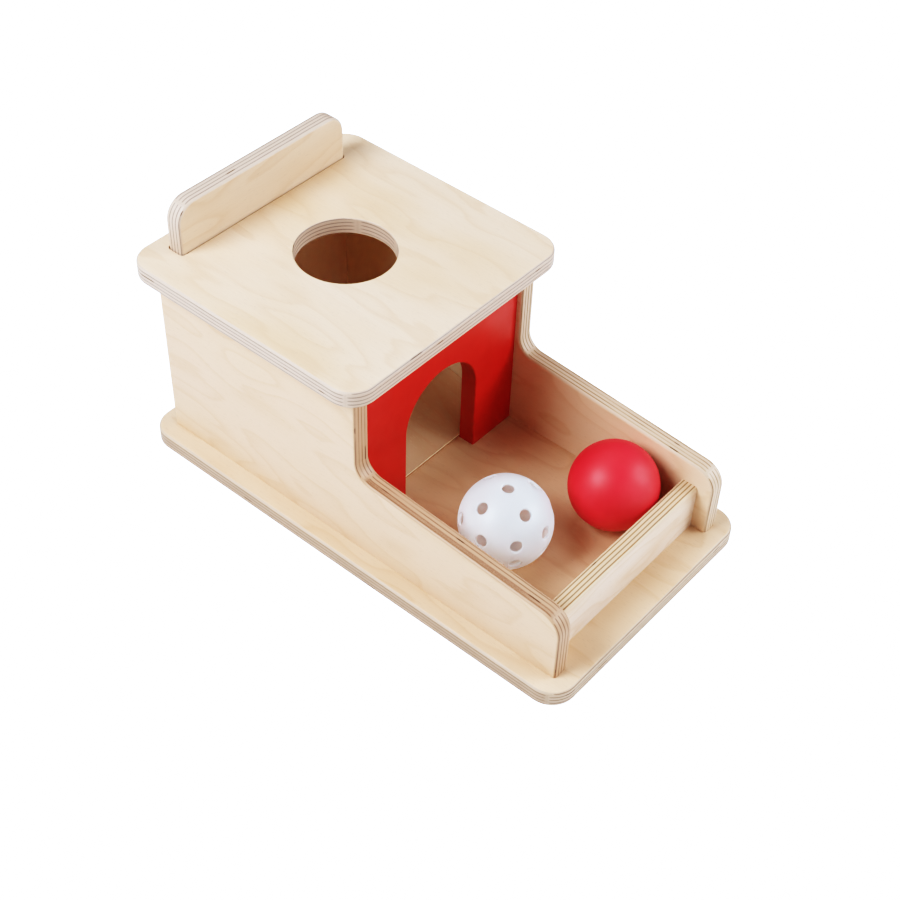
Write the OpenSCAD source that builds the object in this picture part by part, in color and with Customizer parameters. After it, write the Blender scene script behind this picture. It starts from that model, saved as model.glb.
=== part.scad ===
// Object permanence box: a plywood box with a ball hole, a hidden ramp, an arched way out and an open tray.
// Millimetres, +Z up, origin on the underside of the base at its middle, tray towards -Y.

/* [Boards] */
// Thickness of the plywood that every board is cut from
board_t = 12; // [8:0.5:15]
// Radius that the boards' handled edges are eased to
edge_r = 2; // [0.5:0.1:3]
// Corner radius of the base and the top board, seen from above
corner_r = 17; // [6:1:30]
// How far the base and the top board reach past the side walls
overhang_side = 13; // [4:0.5:25]
// How far the base and the top board reach past the walls' ends
overhang_end = 12; // [4:0.5:25]

/* [Box] */
// Clear width between the side walls
inner_w = 142; // [136:1:180]
// Depth of the box, which is the tall stretch of the side walls
box_d = 164; // [130:1:200]
// Height of the box walls above the base
box_h = 126; // [105:1:160]
// Height of the back panel's tab above the top board
tab_h = 34; // [20:1:60]
// Radius of the tab's upper corners
tab_corner_r = 14; // [4:1:18]
// Room around the tab in the top board's slot
slot_clearance = 0.8; // [0.2:0.1:1]

/* [Tray] */
// Length of the tray, which is the low stretch of the side walls
tray_d = 156; // [130:1:200]
// Height of the tray walls above the base at their front ends
tray_front_h = 49; // [40:1:60]
// Height of the tray walls above the base where they meet the box
tray_step_h = 60; // [50:1:75]
// Radius of the tray walls' front corners
tray_front_r = 15; // [5:1:25]
// Radius of the fillet where the tray walls meet the box
step_fillet_r = 12; // [4:1:20]
// Height of the front rail above the base
rail_h = 34; // [20:1:39]
// How far the front rail stands back from the walls' front ends
rail_setback = 11; // [2:0.5:20]

/* [Front panel] */
// How far the front panel stands back from the walls' step
panel_setback = 4; // [1:0.5:10]
// Width of the arched way out
arch_w = 66; // [62:1:80]
// Height of the arched way out above the base
arch_h = 88; // [70:1:100]
// Radius that the arch's edges are eased to
arch_edge_r = 0.8; // [0.3:0.1:2]

/* [Ball hole] */
// Diameter of the ball hole in the top board
hole_d = 64; // [61:0.5:70]
// Radius that the ball hole's edges are eased to
hole_edge_r = 1; // [0.3:0.1:2]

/* [Ramp] */
// Thickness of the ramp board
ramp_t = 4; // [3:0.5:6]
// Rise of the ramp from the front panel to the back panel
ramp_rise = 27; // [15:1:40]
// Room between the ramp and each side wall
ramp_clearance = 0.4; // [0.2:0.1:1]
// Width of the wedges that carry the ramp
wedge_w = 10; // [6:0.5:16]

/* [Dowels] */
// Diameter of the dowels
dowel_d = 6; // [5:0.5:7]
// Length of the dowels
dowel_l = 24; // [20:1:28]
// Wood left between a blind dowel hole and the far face of the base or the top board
dowel_skin = 3.5; // [2:0.5:5]
// Chamfer on the dowels' ends
dowel_chamfer = 0.8; // [0.3:0.1:1]
// Room around a dowel in its hole, on the radius
dowel_clearance = 0.05; // [0.03:0.01:0.1]
// Room past each end of a dowel in its hole
dowel_end_room = 0.5; // [0.3:0.1:0.8]

/* [Balls] */
// Diameter of the solid red ball
red_ball_d = 58; // [50:0.5:60]
// Diameter of the hollow white ball
white_ball_d = 59; // [50:0.5:60]
// Wall of the hollow white ball
white_wall = 1.8; // [1.2:0.1:3]
// Diameter of the white ball's holes
white_hole_d = 7.6; // [5:0.1:9]
// Room between a ball and what it lies on or beside
ball_gap = 0.3; // [0.2:0.1:1]
// Distance of the red ball from the front rail
red_rail_gap = 1.5; // [0.5:0.5:30]
// Distance of the white ball from the front rail
white_rail_gap = 31.5; // [0.5:0.5:40]
// Distance of the white ball from the left wall
white_wall_gap = 14; // [0.5:0.5:20]
// Least room between the two balls
balls_gap = 1; // [0.3:0.1:5]

/* [Hidden] */
$fn = 96;
overrun = 1;
ease_steps = 4;
ease_grid = 0.001;
cosine_grid = 0.000001;

birch = [0.87, 0.77, 0.61];
beech = [0.80, 0.62, 0.42];
red_paint = [0.78, 0.09, 0.08];
white_plastic = [0.93, 0.94, 0.95];

// Overall sizes
wall_l = tray_d + box_d;
base_w = inner_w + 2 * board_t + 2 * overhang_side;
base_l = wall_l + 2 * overhang_end;
top_l = box_d + 2 * overhang_end;

// Levels
floor_z = board_t;
under_top_z = floor_z + box_h;
top_z = under_top_z + board_t;
tab_top_z = top_z + tab_h;

// Places along the box, from the tray's front end to the back
wall_front_y = -wall_l / 2;
step_y = wall_front_y + tray_d;
wall_back_y = wall_front_y + wall_l;
rail_front_y = wall_front_y + rail_setback;
rail_back_y = rail_front_y + board_t;
panel_front_y = step_y + panel_setback;
panel_back_y = panel_front_y + board_t;
back_front_y = wall_back_y - board_t;
top_mid_y = (step_y + wall_back_y) / 2;
hole_y = (panel_back_y + back_front_y) / 2;
wall_mid_x = inner_w / 2 + board_t / 2;

// Side wall profile: the tray edge slopes down to the front and turns round at both of its ends
tray_slope = acos(on_grid(cos(atan((tray_step_h - tray_front_h) / tray_d)), cosine_grid));
tray_along = [cos(tray_slope), sin(tray_slope)];
front_arc = [
    wall_front_y + tray_front_r,
    tray_edge_z(wall_front_y + tray_front_r) - tray_front_r / cos(tray_slope)
];
step_arc = [
    step_y - step_fillet_r,
    tray_edge_z(step_y - step_fillet_r) + step_fillet_r / cos(tray_slope)
];
tray_run = (step_arc - front_arc) * tray_along;

// Arch
arch_spring_z = floor_z + arch_h - arch_w / 2;

// Ramp: its toe is planed flat on the base behind the front panel
ramp_lip_share = 0.7;
ramp_lip_h = ramp_lip_share * ramp_t;
ramp_run = back_front_y - panel_back_y;
ramp_slope = atan(ramp_rise / ramp_run);
ramp_upright_t = ramp_t / cos(ramp_slope);
ramp_toe_y = panel_back_y + (ramp_upright_t - ramp_lip_h) / tan(ramp_slope);
ramp_back_z = floor_z + ramp_lip_h + ramp_rise;

// Dowels: how deep they sit in the base or the top board, and their places as shares of the joint
dowel_seat = board_t - dowel_skin - dowel_end_room;
wall_dowel_shares = [0.1, 0.5, 0.9];
top_dowel_shares = [0.2, 0.8];
rail_dowel_shares = [-0.3, 0.3];
back_dowel_shares = [-0.36, 0, 0.36];

// White ball: two moulded halves, each with a pole hole, a ring of holes and a wider, staggered ring.
// It stands on the rim of its lower pole hole.
ring_counts = [4, 8];
ring_tilts = [40, 75];
ring_turns = [0, 22.5];
white_ball_turn = 74;
white_ball_stand = sqrt(pow(white_ball_d / 2, 2) - pow(white_hole_d / 2, 2));

// Ball places
red_ball_at = [
    inner_w / 2 - ball_gap - red_ball_d / 2,
    rail_back_y + red_rail_gap + red_ball_d / 2,
    floor_z + ball_gap + red_ball_d / 2
];
white_ball_x = -inner_w / 2 + white_wall_gap + white_ball_d / 2;
balls_apart = red_ball_d / 2 + balls_gap + white_ball_d / 2;
balls_across = min(red_ball_at.x - white_ball_x, balls_apart);
white_ball_at = [
    white_ball_x,
    max(
        rail_back_y + white_rail_gap + white_ball_d / 2,
        red_ball_at.y + sqrt(balls_apart * balls_apart - balls_across * balls_across)
    ),
    floor_z + ball_gap + white_ball_stand
];

// A value to the nearest step of a fine grid, so that straight, sloped and round cuts meet exactly
function on_grid(v, grid) = round(v / grid) * grid;

// Height of the tray walls' edge at a place along the box
function tray_edge_z(y) = floor_z + tray_front_h + (y - wall_front_y) * tan(tray_slope);

// A point of the quarter round at an arris, from the board's face at 0 degrees to its edge at 90
function ease_point(r, a) = [on_grid(r - r * sin(a), ease_grid), on_grid(r - r * cos(a), ease_grid)];

// Waste at an arris with the corner at the origin and the board at positive x and y
function ease_section(r) = concat(
    [[-overrun, -overrun], [r, -overrun]],
    [for (i = [0 : ease_steps]) ease_point(r, 90 * i / ease_steps)],
    [[-overrun, r]]
);

// Waste along a straight edge from a to b, with the board on the left
module ease_run(a, b, r = edge_r) {
    translate([a.x, a.y, 0])
        rotate(atan2(b.y - a.y, b.x - a.x))
            rotate([90, 0, 90])
                linear_extrude(norm(b - a)) polygon(ease_section(r));
}

// Waste along a round edge; the board lies inside the circle, or outside it where hollow
module ease_arc(centre, radius, start, sweep, r = edge_r, hollow = false) {
    side = hollow ? 1 : -1;
    translate([centre.x, centre.y, 0])
        rotate(start)
            rotate_extrude(angle = sweep) polygon([for (p = ease_section(r)) [radius + side * p.x, p.y]]);
}

// A flat board: the first child is its outline, the second the waste at one face's arrises
module eased_board(t = board_t) {
    difference() {
        linear_extrude(t) children(0);
        children(1);
        translate([0, 0, t]) mirror([0, 0, 1]) children(1);
    }
}

// Rectangle with round corners, centred
module round_rect(w, l, r) {
    square([w - 2 * r, l], center = true);
    square([w, l - 2 * r], center = true);
    for (sx = [-1, 1], sy = [-1, 1])
        translate([sx * (w / 2 - r), sy * (l / 2 - r)]) circle(r);
}

// Waste all round the arrises of a round-cornered board
module round_rect_waste(w, l, r) {
    for (k = [0 : 3]) {
        a = k % 2 == 0 ? w : l;
        b = k % 2 == 0 ? l : w;
        rotate(90 * k) {
            ease_run([r - a / 2, -b / 2], [a / 2 - r, -b / 2]);
            ease_arc([a / 2 - r, r - b / 2], r, 270, 90);
        }
    }
}

// Stands a board that is drawn in X and Z upright, with its back face at y
module upright_at(y) {
    translate([0, y, 0]) rotate([90, 0, 0]) children();
}

// Stands a board that is drawn in Y and Z upright, with its left face at x
module sideways_at(x) {
    translate([x, 0, 0]) rotate([90, 0, 90]) children();
}

// Frames on the wall's profile: at the front corner's middle, along the tray edge, and at the fillet's middle
module at_front_arc() {
    translate([front_arc.x, front_arc.y, 0]) children();
}

module along_tray() {
    at_front_arc() rotate(tray_slope) children();
}

module at_step_arc() {
    along_tray() translate([tray_run, tray_front_r + step_fillet_r, 0]) rotate(-tray_slope) children();
}

// The stretch of the front corner between its end on the front edge and its end on the tray edge
module front_sector() {
    intersection() {
        at_front_arc() translate([-wall_l, 0]) square([2 * wall_l, wall_l]);
        along_tray() translate([-wall_l, -wall_l]) square([wall_l, 2 * wall_l]);
    }
}

// The stretch of the fillet between its end on the tray edge and its end on the step
module step_sector() {
    intersection() {
        at_step_arc() translate([-wall_l, -wall_l]) square([2 * wall_l, wall_l]);
        at_step_arc() rotate(tray_slope) translate([0, -wall_l]) square([wall_l, 2 * wall_l]);
    }
}

// The room above the tray edge and before the step
module side_wall_air() {
    difference() {
        intersection() {
            along_tray() translate([-wall_l, tray_front_r]) square([2 * wall_l, wall_l]);
            at_step_arc() translate([step_fillet_r - 2 * wall_l, -wall_l]) square([2 * wall_l, 2 * wall_l]);
        }
        difference() {
            step_sector();
            at_step_arc() circle(step_fillet_r);
        }
    }
}

module side_wall_outline() {
    difference() {
        translate([wall_front_y, floor_z]) square([wall_l, box_h]);
        side_wall_air();
        difference() {
            front_sector();
            at_front_arc() circle(tray_front_r);
        }
    }
}

module side_wall_waste() {
    sector_h = edge_r + overrun;
    at_step_arc() ease_run([step_fillet_r, box_h], [step_fillet_r, 0]);
    intersection() {
        at_step_arc() ease_arc([0, 0], step_fillet_r, 0, 360, hollow = true);
        translate([0, 0, -sector_h]) linear_extrude(2 * sector_h) step_sector();
    }
    along_tray() ease_run([tray_run, tray_front_r], [0, tray_front_r]);
    intersection() {
        at_front_arc() ease_arc([0, 0], tray_front_r, 0, 360);
        translate([0, 0, -sector_h]) linear_extrude(2 * sector_h) front_sector();
    }
    at_front_arc() ease_run([-tray_front_r, 0], [-tray_front_r, -box_h]);
}

module side_wall() {
    difference() {
        sideways_at(-inner_w / 2 - board_t) eased_board() {
            side_wall_outline();
            side_wall_waste();
        }
        sideways_at(-inner_w / 2 - board_t)
            ease_run([wall_back_y, floor_z - overrun], [wall_back_y, under_top_z + overrun]);
        wall_dowel_places() dowel_hole();
        top_dowel_places() dowel_hole();
    }
}

// A dowel that stands across a joint at z = 0, with its short seat below
module dowel() {
    r = dowel_d / 2;
    translate([0, 0, -dowel_seat]) rotate_extrude() polygon([
        [0, 0], [r - dowel_chamfer, 0], [r, dowel_chamfer], [r, dowel_l - dowel_chamfer],
        [r - dowel_chamfer, dowel_l], [0, dowel_l]
    ]);
}

module dowel_hole() {
    translate([0, 0, -dowel_seat - dowel_end_room])
        cylinder(d = dowel_d + 2 * dowel_clearance, h = dowel_l + 2 * dowel_end_room);
}

module wall_dowel_places() {
    for (side = [-1, 1], share = wall_dowel_shares)
        translate([side * wall_mid_x, wall_front_y + share * wall_l, floor_z]) children();
}

module top_dowel_places() {
    for (side = [-1, 1], share = top_dowel_shares)
        translate([side * wall_mid_x, step_y + share * box_d, under_top_z]) mirror([0, 0, 1]) children();
}

module panel_dowel_places() {
    leg_mid_x = (arch_w / 2 + inner_w / 2) / 2;
    for (side = [-1, 1])
        translate([side * leg_mid_x, panel_front_y + board_t / 2, floor_z]) children();
    for (share = back_dowel_shares)
        translate([share * inner_w, back_front_y + board_t / 2, floor_z]) children();
}

module rail_dowel_places() {
    for (share = rail_dowel_shares)
        translate([share * inner_w, rail_front_y + board_t / 2, floor_z]) children();
}

module base_board() {
    color(birch) difference() {
        eased_board() {
            round_rect(base_w, base_l, corner_r);
            round_rect_waste(base_w, base_l, corner_r);
        }
        wall_dowel_places() dowel_hole();
        panel_dowel_places() dowel_hole();
        rail_dowel_places() dowel_hole();
    }
}

module left_wall() {
    color(birch) side_wall();
}

module right_wall() {
    color(birch) mirror([1, 0, 0]) side_wall();
}

module front_panel() {
    color(red_paint) difference() {
        upright_at(panel_back_y) eased_board() {
            difference() {
                translate([-inner_w / 2, floor_z]) square([inner_w, box_h]);
                translate([-arch_w / 2, floor_z - overrun])
                    square([arch_w, arch_spring_z - floor_z + overrun]);
                translate([0, arch_spring_z]) circle(d = arch_w);
            }
            union() {
                foot_z = floor_z - overrun;
                ease_run([-arch_w / 2, foot_z], [-arch_w / 2, arch_spring_z], r = arch_edge_r);
                ease_arc([0, arch_spring_z], arch_w / 2, 0, 180, r = arch_edge_r, hollow = true);
                ease_run([arch_w / 2, arch_spring_z], [arch_w / 2, foot_z], r = arch_edge_r);
            }
        }
        panel_dowel_places() dowel_hole();
    }
}

module back_panel() {
    half_w = inner_w / 2;
    bend_x = half_w - tab_corner_r;
    bend_z = tab_top_z - tab_corner_r;
    color(birch) difference() {
        upright_at(wall_back_y) eased_board() {
            union() {
                translate([-half_w, floor_z]) square([inner_w, bend_z - floor_z]);
                translate([-bend_x, floor_z]) square([2 * bend_x, tab_top_z - floor_z]);
                for (side = [-1, 1]) translate([side * bend_x, bend_z]) circle(tab_corner_r);
            }
            union() {
                ease_run([half_w, under_top_z], [half_w, bend_z]);
                ease_arc([bend_x, bend_z], tab_corner_r, 0, 90);
                ease_run([bend_x, tab_top_z], [-bend_x, tab_top_z]);
                ease_arc([-bend_x, bend_z], tab_corner_r, 90, 90);
                ease_run([-half_w, bend_z], [-half_w, under_top_z]);
            }
        }
        panel_dowel_places() dowel_hole();
    }
}

module top_board() {
    color(birch) difference() {
        translate([0, top_mid_y, under_top_z]) eased_board() {
            difference() {
                round_rect(base_w, top_l, corner_r);
                translate([0, hole_y - top_mid_y]) circle(d = hole_d);
                translate([0, back_front_y + board_t / 2 - top_mid_y]) round_rect(
                    inner_w + 2 * slot_clearance, board_t + 2 * slot_clearance, edge_r + slot_clearance
                );
            }
            union() {
                round_rect_waste(base_w, top_l, corner_r);
                ease_arc([0, hole_y - top_mid_y], hole_d / 2, 0, 360, r = hole_edge_r, hollow = true);
            }
        }
        top_dowel_places() dowel_hole();
    }
}

module front_rail() {
    color(birch) difference() {
        upright_at(rail_back_y) eased_board() {
            translate([-inner_w / 2, floor_z]) square([inner_w, rail_h]);
            ease_run([inner_w / 2, floor_z + rail_h], [-inner_w / 2, floor_z + rail_h]);
        }
        rail_dowel_places() dowel_hole();
    }
}

module ramp() {
    half_w = inner_w / 2 - ramp_clearance;
    color(birch) sideways_at(-half_w) linear_extrude(2 * half_w) polygon([
        [panel_back_y, floor_z], [panel_back_y, floor_z + ramp_lip_h], [back_front_y, ramp_back_z],
        [back_front_y, ramp_back_z - ramp_upright_t], [ramp_toe_y, floor_z]
    ]);
}

module ramp_wedge() {
    color(beech) sideways_at(-inner_w / 2) linear_extrude(wedge_w) polygon([
        [ramp_toe_y, floor_z], [back_front_y, floor_z], [back_front_y, ramp_back_z - ramp_upright_t]
    ]);
}

module left_ramp_wedge() {
    ramp_wedge();
}

module right_ramp_wedge() {
    mirror([1, 0, 0]) ramp_wedge();
}

module wall_dowels() {
    color(beech) wall_dowel_places() dowel();
}

module panel_dowels() {
    color(beech) panel_dowel_places() dowel();
}

module rail_dowels() {
    color(beech) rail_dowel_places() dowel();
}

module top_dowels() {
    color(beech) top_dowel_places() dowel();
}

module red_ball() {
    color(red_paint) translate(red_ball_at) sphere(d = red_ball_d);
}

// A hole from the ball's middle out through its wall, along +Z
module white_hole() {
    cylinder(d = white_hole_d, h = white_ball_d / 2 + overrun);
}

module white_half_holes() {
    white_hole();
    for (ring = [0 : len(ring_counts) - 1], k = [0 : ring_counts[ring] - 1])
        rotate(ring_turns[ring] + 360 * k / ring_counts[ring]) rotate([0, ring_tilts[ring], 0]) white_hole();
}

module white_ball() {
    color(white_plastic) translate(white_ball_at) rotate(white_ball_turn)
        difference() {
            sphere(d = white_ball_d);
            sphere(d = white_ball_d - 2 * white_wall);
            white_half_holes();
            mirror([0, 0, 1]) white_half_holes();
        }
}

base_board();
left_wall();
right_wall();
front_panel();
back_panel();
top_board();
front_rail();
ramp();
left_ramp_wedge();
right_ramp_wedge();
wall_dowels();
panel_dowels();
rail_dowels();
top_dowels();
red_ball();
white_ball();
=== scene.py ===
"""Dresses the object permanence box, a plywood box with a tray and two balls, in a plain studio."""

import logging
import math
from dataclasses import dataclass, field
from enum import Enum
from itertools import combinations

import bpy
import numpy as np
from mathutils import Matrix, Vector


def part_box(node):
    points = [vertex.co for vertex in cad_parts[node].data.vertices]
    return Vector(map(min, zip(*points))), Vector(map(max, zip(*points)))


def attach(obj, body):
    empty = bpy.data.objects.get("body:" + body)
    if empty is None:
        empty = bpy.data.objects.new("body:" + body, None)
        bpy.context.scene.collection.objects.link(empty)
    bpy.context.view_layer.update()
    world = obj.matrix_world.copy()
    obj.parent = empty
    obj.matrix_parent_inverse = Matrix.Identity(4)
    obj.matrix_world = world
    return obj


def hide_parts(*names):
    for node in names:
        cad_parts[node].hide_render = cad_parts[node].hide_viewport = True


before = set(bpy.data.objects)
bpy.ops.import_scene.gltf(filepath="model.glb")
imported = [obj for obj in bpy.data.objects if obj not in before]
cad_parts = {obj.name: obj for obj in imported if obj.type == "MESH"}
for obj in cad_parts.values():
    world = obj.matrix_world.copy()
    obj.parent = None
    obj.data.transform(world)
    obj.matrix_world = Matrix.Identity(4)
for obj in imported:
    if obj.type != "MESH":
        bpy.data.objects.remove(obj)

Triple = tuple[float, float, float]
Ease = tuple[float, ...]
Array = np.ndarray
Socket = bpy.types.NodeSocket
Feed = Socket | float | tuple | None

LOG = logging.getLogger("permanence_box")
PER_MM = 1000.0
HAIR = 0.0002
FLAT = math.inf
WHITE: Triple = (1.0, 1.0, 1.0)


class Axis(Enum):
    """A direction of the shared frame."""

    X = (1.0, 0.0, 0.0)
    Y = (0.0, 1.0, 0.0)
    Z = (0.0, 0.0, 1.0)


class Port(Enum):
    """The kinds of socket that a node group has."""

    VALUE = "NodeSocketFloat"
    VECTOR = "NodeSocketVector"


def lit(screen: Array) -> Array:
    """Screen values from 0 to 1 as linear light, by the sRGB formula."""
    return np.where(screen <= 0.04045, screen / 12.92, ((screen + 0.055) / 1.055) ** 2.4)


def linear(red: float, green: float, blue: float) -> Triple:
    """Turns a screen colour into the linear one that shaders take.

    Args:
        red: Red from 0 to 255.
        green: Green from 0 to 255.
        blue: Blue from 0 to 255.

    Returns:
        The three linear parts from 0 to 1.
    """
    return tuple(float(v) for v in lit(np.array([red, green, blue]) / 255.0))


def opaque(colour: Triple) -> tuple[float, float, float, float]:
    """A colour with full alpha, as colour sockets take it."""
    return (*colour, 1.0)


def shown(sockets: bpy.types.bpy_prop_collection) -> list[Socket]:
    """The sockets that a node shows with its present settings."""
    return [socket for socket in sockets if socket.enabled]


@dataclass(frozen=True)
class Swell:
    """Smooth noise: the lengths of its swells in mm, and the number and strength of its finer octaves.

    A length of FLAT means that the noise doesn't change in that direction.
    """

    x: float
    y: float
    z: float = FLAT
    detail: float = 2.0
    roughness: float = 0.5

    def scale(self) -> Triple:
        """Swells for each mm along x, y and z."""
        return (1.0 / self.x, 1.0 / self.y, 1.0 / self.z)


class Graph:
    """A shader node tree with short calls that add nodes and return their output sockets."""

    def __init__(self, tree: bpy.types.NodeTree) -> None:
        """Works on an existing node tree."""
        self.tree = tree

    def node(self, kind: str, **settings: object) -> bpy.types.Node:
        """Adds a node.

        Args:
            kind: The node's type name.
            **settings: Properties to set on it.

        Returns:
            The new node.
        """
        made = self.tree.nodes.new(kind)
        for key, value in settings.items():
            setattr(made, key, value)
        return made

    def feed(self, socket: Socket, value: Feed) -> None:
        """Links an input to a socket, or sets it to a constant.

        Args:
            socket: The input.
            value: An output socket, a constant, or None to leave the input as it is.
        """
        if isinstance(value, Socket):
            self.tree.links.new(value, socket)
        elif value is not None:
            socket.default_value = value

    def maths(self, how: str, first: Feed, *others: Feed) -> Socket:
        """Carries a value through Math nodes of one operation.

        Args:
            how: The operation.
            first: The value to begin with.
            *others: Each node's second value in turn, or none where the operation takes only one value.

        Returns:
            The result.
        """
        for other in others or (None,):
            made = self.node("ShaderNodeMath", operation=how)
            self.feed(made.inputs[0], first)
            self.feed(made.inputs[1], other)
            first = made.outputs[0]
        return first

    def times(self, first: Feed, *others: Feed) -> Socket:
        """The product of the values."""
        return self.maths("MULTIPLY", first, *others)

    def vectors(self, how: str, *given: Feed) -> Socket:
        """Adds a Vector Math node.

        Args:
            how: Its operation.
            *given: Its inputs in order.

        Returns:
            The result, a vector or a value.
        """
        made = self.node("ShaderNodeVectorMath", operation=how)
        for socket, value in zip(made.inputs, given):
            self.feed(socket, value)
        return shown(made.outputs)[0]

    def parts(self, vector: Socket) -> list[Socket]:
        """Splits a vector.

        Args:
            vector: The vector.

        Returns:
            Its x, y and z.
        """
        made = self.node("ShaderNodeSeparateXYZ")
        self.feed(made.inputs[0], vector)
        return list(made.outputs)

    def along_z(self, value: Feed) -> Socket:
        """Makes a vector along z.

        Args:
            value: Its length.

        Returns:
            The vector.
        """
        made = self.node("ShaderNodeCombineXYZ")
        self.feed(made.inputs["Z"], value)
        return made.outputs[0]

    def rise(self, value: Feed, low: float, high: float, start: float = 0.0, end: float = 1.0) -> Socket:
        """Eases smoothly from one level to another while a value goes from low to high.

        Args:
            value: The value that is followed.
            low: Where the rise begins.
            high: Where it ends.
            start: Level at and before low.
            end: Level at and after high.

        Returns:
            The eased level.
        """
        made = self.node("ShaderNodeMapRange", interpolation_type="SMOOTHSTEP")
        for socket, given in zip(made.inputs, (value, low, high, start, end)):
            self.feed(socket, given)
        return made.outputs[0]

    def noise(self, vector: Socket, swell: Swell, shift: Socket) -> Socket:
        """Smooth noise from 0 to 1.

        Args:
            vector: Where it is read, in mm.
            swell: Its lengths and octaves.
            shift: Vector that moves the pattern, in swells.

        Returns:
            The noise.
        """
        made = self.node("ShaderNodeTexNoise", noise_dimensions="3D")
        given = {
            "Vector": self.vectors("MULTIPLY_ADD", vector, swell.scale(), shift),
            "Scale": 1.0,
            "Detail": swell.detail,
            "Roughness": swell.roughness,
        }
        for name, value in given.items():
            self.feed(made.inputs[name], value)
        return made.outputs[0]

    def mix(self, share: Feed, a: Socket | Triple, b: Socket | Triple) -> Socket:
        """Mixes two colours.

        Args:
            share: Share of the second colour, from 0 to 1.
            a: First colour.
            b: Second colour.

        Returns:
            The mixed colour.
        """
        made = self.node("ShaderNodeMix", data_type="RGBA")
        colours = (colour if isinstance(colour, Socket) else opaque(colour) for colour in (a, b))
        for socket, given in zip(shown(made.inputs), (share, *colours)):
            self.feed(socket, given)
        return shown(made.outputs)[0]

    def use(self, group: bpy.types.NodeTree, **given: Feed) -> dict[str, Socket]:
        """Places a node group.

        Args:
            group: The group.
            **given: Its inputs by name.

        Returns:
            Its outputs by name.
        """
        made = self.node("ShaderNodeGroup", node_tree=group)
        for name, value in given.items():
            self.feed(made.inputs[name], value)
        return {socket.name: socket for socket in made.outputs}


class Effect:
    """A shared node group, built once and placed in each material that uses it."""

    def __init__(self, name: str, takes: dict[str, Port], gives: tuple[str, ...]) -> None:
        """Makes the empty group.

        Args:
            name: The group's name.
            takes: Its inputs.
            gives: Its outputs, which are all values.
        """
        self.group = bpy.data.node_groups.new(name, "ShaderNodeTree")
        for key, port in takes.items():
            self.group.interface.new_socket(key, in_out="INPUT", socket_type=port.value)
        for key in gives:
            self.group.interface.new_socket(key, in_out="OUTPUT", socket_type=Port.VALUE.value)
        self.graph = Graph(self.group)
        self.given = {s.name: s for s in self.graph.node("NodeGroupInput").outputs if s.name}
        self.wanted = self.graph.node("NodeGroupOutput").inputs

    def give(self, **found: Socket) -> bpy.types.NodeTree:
        """Joins the results to the group's outputs.

        Args:
            **found: The result for each output, by name.

        Returns:
            The finished group.
        """
        for key, socket in found.items():
            self.graph.feed(self.wanted[key], socket)
        return self.group


@dataclass(frozen=True)
class VeneerFigure:
    """Figure of rotary-cut birch: level lines of a long, stretched swell, with clouds, fibres and flecks.

    The vector is in mm: x along the grain, y across it, z through the board. The lines are the parts of
    rings * swell + wobble * jitter where the fraction nears 1: each rises slowly, as early wood, and ends
    sharply. The pattern drifts slowly with depth, so the two faces differ.
    """

    swell: Swell = Swell(150.0, 44.0, roughness=0.45)
    jitter: Swell = Swell(30.0, 2.2, detail=1.0)
    cloud: Swell = Swell(150.0, 55.0)
    fibre: Swell = Swell(16.0, 0.45, roughness=0.6)
    fleck: Swell = Swell(3.2, 0.5, detail=0.0)
    drift: float = 0.05
    rings: float = 9.0
    wobble: float = 0.20
    slowness: float = 4.0
    line_end: Ease = (0.84, 1.0, 1.0, 0.0)
    flecked: Ease = (0.70, 0.80)

    def group(self) -> bpy.types.NodeTree:
        """Builds the effect.

        Returns:
            The group with Line, Cloud, Fibre and Fleck, each from 0 to 1.
        """
        takes = {"Vector": Port.VECTOR, "Seed": Port.VALUE}
        effect = Effect("veneer_figure", takes, ("Line", "Cloud", "Fibre", "Fleck"))
        graph = effect.graph
        vector, seed = effect.given["Vector"], effect.given["Seed"]
        depth = graph.parts(vector)[2]
        shift = graph.along_z(graph.maths("ADD", seed, graph.times(depth, self.drift)))
        swell = graph.noise(vector, self.swell, shift)
        jitter = graph.noise(vector, self.jitter, shift)
        rings = graph.maths("ADD", graph.times(swell, self.rings), graph.times(jitter, self.wobble))
        step = graph.maths("FRACT", rings)
        return effect.give(
            Line=graph.times(graph.maths("POWER", step, self.slowness), graph.rise(step, *self.line_end)),
            Cloud=graph.noise(vector, self.cloud, shift),
            Fibre=graph.noise(vector, self.fibre, shift),
            Fleck=graph.rise(graph.noise(vector, self.fleck, shift), *self.flecked),
        )


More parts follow.
